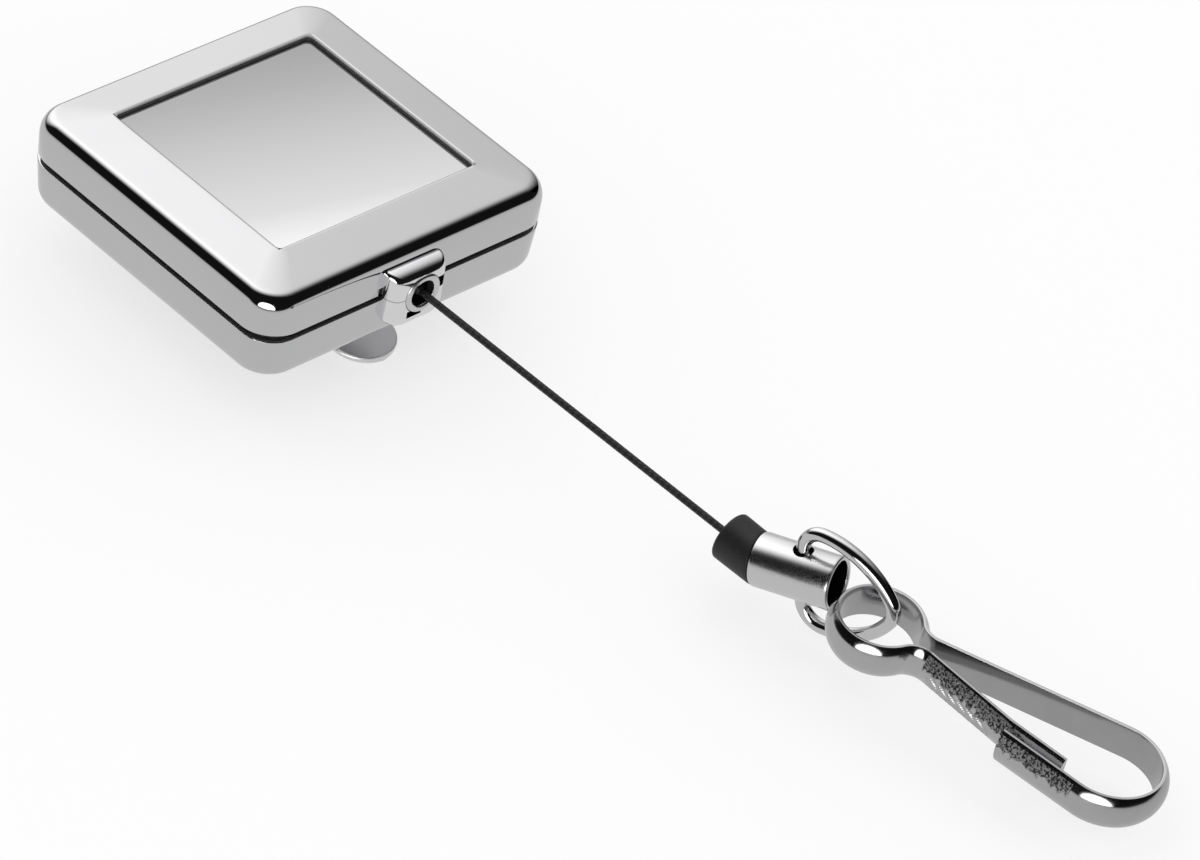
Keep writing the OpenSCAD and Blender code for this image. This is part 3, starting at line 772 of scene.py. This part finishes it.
def hook_strip():
    """The hook's body: the gate's neck, the ring, the back's neck, the back, the end bend and its nose."""
    ring_start = BACK_ANGLE + neck_angle(BACK_OFFSET)
    ring_stop = 2 * math.pi - GATE_ANGLE - neck_angle(GATE_OFFSET)
    turn_mid = Vector((HOOK_REACH, BACK_OFFSET - TURN_R))
    nose_angle = math.pi / 2 - TURN_SWEEP
    nose_start = turn_mid + TURN_R * unit(nose_angle)
    nose_end = nose_start + NOSE * unit(nose_angle - math.pi / 2)
    back_neck = neck_path(BACK_OFFSET)
    path = turned(mirrored_back(neck_path(GATE_OFFSET)), -GATE_ANGLE)
    path += path_arc((0, 0), RING_MID, ring_stop, ring_start)[1:]
    path += turned(back_neck, BACK_ANGLE)[1:]
    back = straight(back_neck[-1][0], turn_mid + TURN_R * unit(math.pi / 2), unit(math.pi / 2))
    path += turned(back, BACK_ANGLE)[1:]
    path += turned(path_arc(turn_mid, TURN_R, math.pi / 2, nose_angle), BACK_ANGLE)[1:]
    path += turned(straight(nose_start, nose_end, unit(nose_angle)), BACK_ANGLE)[1:]
    section = half_round()
    loops = [[hook_point(p, o, out, across) for out, across in section] for p, o in path]
    body = loft("hook_strip", loops, strip_nickel, sharp=math.radians(40))
    body.data.materials.append(grain_and_painted_reflection)
    tip, out = turned([(nose_end, unit(nose_angle))], BACK_ANGLE)[0]
    grain(body, tip, out, NOSE - 0.6 * MM)
    paint_shade_inside(body, len(section))
    return body


def grain(piece, tip, out, reach):
    """Gives the outer face near tip its grained material, whose near-black band is partly a painted
    reflection.
    """
    for face in piece.data.polygons:
        place = face.center - ring_place
        flat = Vector((place.dot(hook_along), place.dot(hook_left))) - tip
        if flat.dot(out) > 0 and flat.length < reach and abs(place.dot(hook_normal)) < STRIP_W / 2 - 0.1 * MM:
            face.material_index = 1


def paint_shade_inside(piece, count):
    """Gives the flat inside of a strip, the last face of each row of count faces, a painted shade: a darker
    copy of its nickel.
    """
    piece.data.materials.append(shaded_inner_nickel)
    for face in piece.data.polygons:
        if len(face.vertices) == 4 and face.index % count == count - 1:
            face.material_index = 2


def gate_strip():
    """The sprung arm, with slanting grooves pressed into the lower half of its outer face."""
    root = Vector((GATE_ROOT, -GATE_OFFSET))
    knee = Vector((GATE_KNEE, -GATE_OFFSET))
    tip = knee + GATE_TIP * unit(KNEE_ANGLE)
    path = straight(root - Vector((0.5 * MM, 0)), knee, unit(math.pi / 2), 0.12 * MM)
    path += straight(knee, tip, unit(math.pi / 2 + KNEE_ANGLE), 0.12 * MM)[1:]
    path = turned(path, -GATE_ANGLE)
    section = half_round(-1, steps=40)
    loops = []
    for place, out in path:
        along = turned([(place, out)], GATE_ANGLE)[0][0].x
        loop = []
        for outward, across in section:
            loop.append(hook_point(place, out, outward + groove(along, outward, across), across))
        loops.append(loop)
    gate = loft("gate_strip", loops, pressed_nickel, sharp=math.radians(50))
    gate.data.materials.append(grain_and_painted_reflection)
    middle, out = path[len(path) // 2]
    grain(gate, middle, -out, 9.5 * MM)
    paint_shade_inside(gate, len(section))
    return gate


def groove(along, outward, across):
    """Depth of the slanting grooves at a point of the gate's outer face."""
    start, stop, deep, pitch = 6.8 * MM, 16.5 * MM, 0.15 * MM, 1.3 * MM
    if outward > -0.1 * MM or not start < along < stop or across > 0.2 * MM:
        return 0
    fade = min(1, (along - start) / MM, (stop - along) / MM, (0.2 * MM - across) / (0.5 * MM),
               (STRIP_W / 2 + across) / (0.4 * MM))
    wave = math.sin(2 * math.pi * (along + across * 1.3) / pitch)
    return deep * max(0, fade) * wave


hook_piece = hook_strip()
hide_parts("hook_body")
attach(hook_piece, "hook")
gate_piece = gate_strip()
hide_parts("hook_gate")
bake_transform(gate_piece)


# Belt clip

def clip_strip():
    """One spring strip: riveted to the rear shell, bent back on itself and flared out at its tip."""
    width, thick, stand, reach = 8 * MM, 0.8 * MM, 6.2 * MM, 17.6 * MM
    bend_y, bend_r = 13 * MM, stand / 2 - thick / 2
    base_y, flare_y, gap_z = -6 * MM, -9 * MM, -4.5 * MM
    mid = thick / 2
    path = [Vector((base_y + (bend_y - base_y) * i / 24, -mid)) for i in range(24)]
    path += [Vector(p) for p in arc((bend_y, -stand / 2), bend_r, math.pi / 2, -math.pi / 2, 24)]
    blade = bezier((bend_y, -stand + mid), (0, -stand + mid + 0.9 * MM), (flare_y + 3 * MM, gap_z - mid),
                   (flare_y, gap_z - mid), 24)
    path += [Vector(p) for p in blade[1:]]
    flare = bezier((flare_y, gap_z - mid), (flare_y - 3 * MM, gap_z - mid),
                   (-reach + 3 * MM, -stand + mid + 0.5 * MM), (-reach, -stand + mid + 0.2 * MM), 40)
    path += [Vector(p) for p in flare[1:]]
    lengths = [0]
    for a, b in zip(path, path[1:]):
        lengths.append(lengths[-1] + (b - a).length)
    total, edge, round_r, end_half = lengths[-1], 0.38 * MM, width / 2, 0.4 * MM
    loops = []
    last = len(path) - 1
    for i, place in enumerate(path):
        tangent = (path[min(i + 1, last)] - path[max(i - 1, 0)]).normalized()
        out = Vector((-tangent.y, tangent.x))
        near = min(lengths[i], total - lengths[i])
        missing = max(0, round_r - near)
        half = max(end_half, math.sqrt(max(0, round_r ** 2 - missing ** 2)))
        outline = []
        wide, tall = half - edge, mid - edge
        for quarter, corner in enumerate(((wide, tall), (-wide, tall), (-wide, -tall), (wide, -tall))):
            start = quarter * math.pi / 2
            outline += arc(corner, edge, start, start + math.pi / 2, 4)
        loops.append([Vector((x, place.x + out.x * h, place.y + out.y * h)) for x, h in outline])
    return loft("clip_strip", loops, clip_chrome)


clip_piece = clip_strip()
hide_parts("clip_base", "clip_tongue")
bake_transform(clip_piece)


# Floor, light and camera

def pale_floor(z):
    """A plain pale floor that fades into the white ground past the reel, so that a pulled-out cord shows
    below its level. Mirrored rays see it a little darker, and dark far away, as on a small table."""
    size = 6
    fade_start, fade_end = 0.122, 0.14
    mirror_start, mirror_end = 0.06, 0.38
    floor = make_object("floor", [(-size, -size, z), (size, -size, z), (size, size, z), (-size, size, z)],
                        [(0, 1, 2, 3)], steel)
    material, nodes, links = new_material("pale_floor")
    shader = nodes["Principled BSDF"]
    shader.inputs["Roughness"].default_value = 0.9
    shader.inputs["Specular IOR Level"].default_value = 0
    shader.inputs["Base Color"].default_value = (0.97, 0.97, 0.97, 1)
    glow = nodes.new("ShaderNodeEmission")
    seen = nodes.new("ShaderNodeMixShader")
    seen.inputs[0].default_value = 0.38
    links.new(glow.outputs[0], seen.inputs[1])
    links.new(shader.outputs[0], seen.inputs[2])
    place = nodes.new("ShaderNodeTexCoord")
    reach = nodes.new("ShaderNodeVectorMath")
    reach.operation = "LENGTH"
    links.new(place.outputs["Object"], reach.inputs[0])
    ground = nodes.new("ShaderNodeMixShader")
    past_reel = ranged(nodes, links, reach.outputs["Value"], 0, 1, fade_start, fade_end, smooth=True)
    links.new(past_reel, ground.inputs[0])
    links.new(seen.outputs[0], ground.inputs[1])
    links.new(nodes.new("ShaderNodeBsdfTransparent").outputs[0], ground.inputs[2])
    mirrored = nodes.new("ShaderNodeEmission")
    fade = ranged(nodes, links, reach.outputs["Value"], 0.68, 0.02, mirror_start, mirror_end, smooth=True)
    links.new(fade, mirrored.inputs["Strength"])
    path = nodes.new("ShaderNodeLightPath")
    mix = nodes.new("ShaderNodeMixShader")
    links.new(path.outputs["Is Glossy Ray"], mix.inputs[0])
    links.new(ground.outputs[0], mix.inputs[1])
    links.new(mirrored.outputs[0], mix.inputs[2])
    links.new(mix.outputs[0], nodes["Material Output"].inputs["Surface"])
    floor.data.materials[0] = material


def studio_light():
    """An even soft dome. Mirrored rays see a wide softbox and a small low lamp in a dark room instead."""
    world = bpy.data.worlds.new("studio")
    bpy.context.scene.world = world
    world.use_nodes = True
    world.cycles.sampling_method = "NONE"
    nodes, links = world.node_tree.nodes, world.node_tree.links
    ray = nodes.new("ShaderNodeTexCoord").outputs["Generated"]
    toward_box = length_along(nodes, links, ray, (0.55, 0.55, 0.63))
    box = ranged(nodes, links, toward_box, 0, 1, 0.34, 0.88, smooth=True)
    level = combined(nodes, links, "ADD", length_along(nodes, links, ray, (-0.84, 0.84, 0.4)), 0.82)
    toward_lamp = length_along(nodes, links, ray, (-0.862, -0.507, 0))
    lamp_side = ranged(nodes, links, toward_lamp, 0, 1, 0.87, 0.9, smooth=True)
    above_middle = combined(nodes, links, "SUBTRACT", length_along(nodes, links, ray, (0, 0, 1)), 0.12)
    from_middle = combined(nodes, links, "ABSOLUTE", above_middle)
    lamp_height = ranged(nodes, links, from_middle, 1, 0, 0.36, 0.4, smooth=True)
    lamp = ranged(nodes, links, combined(nodes, links, "MULTIPLY", lamp_side, lamp_height), 0.008, 3.0)
    room = combined(nodes, links, "ADD", combined(nodes, links, "MULTIPLY", box, level), lamp)
    path = nodes.new("ShaderNodeLightPath")
    change = combined(nodes, links, "SUBTRACT", room, 1.0)
    glossy_change = combined(nodes, links, "MULTIPLY", change, path.outputs["Is Glossy Ray"])
    links.new(combined(nodes, links, "ADD", glossy_change, 1.0), nodes["Background"].inputs["Color"])


def photo_camera():
    """The camera at the viewing angle: azimuth, elevation and roll about a target point."""
    azimuth, elevation, roll = math.radians(-48.289), math.radians(38.651), math.radians(9.8165)
    distance, target = 719.8 * MM, Vector((-4.97, -53.77, 12.0)) * MM
    back = Vector((math.sin(azimuth) * math.cos(elevation), -math.cos(azimuth) * math.cos(elevation),
                   math.sin(elevation)))
    right = (-back).cross(Z).normalized()
    up = right.cross(-back)
    rolled_right = right * math.cos(roll) + up * math.sin(roll)
    rolled_up = up * math.cos(roll) - right * math.sin(roll)
    data = bpy.data.cameras.new("camera")
    data.sensor_width = 36
    data.lens = 214.335
    data.clip_start = 0.05
    camera = bpy.data.objects.new("camera", data)
    bpy.context.scene.collection.objects.link(camera)
    turn = Matrix((rolled_right, rolled_up, back)).transposed()
    camera.matrix_world = Matrix.Translation(target + back * distance) @ turn.to_4x4()
    bpy.context.scene.camera = camera


pale_floor(cad_box[0].z)
studio_light()
photo_camera()
bpy.context.scene.view_settings.view_transform = "Standard"
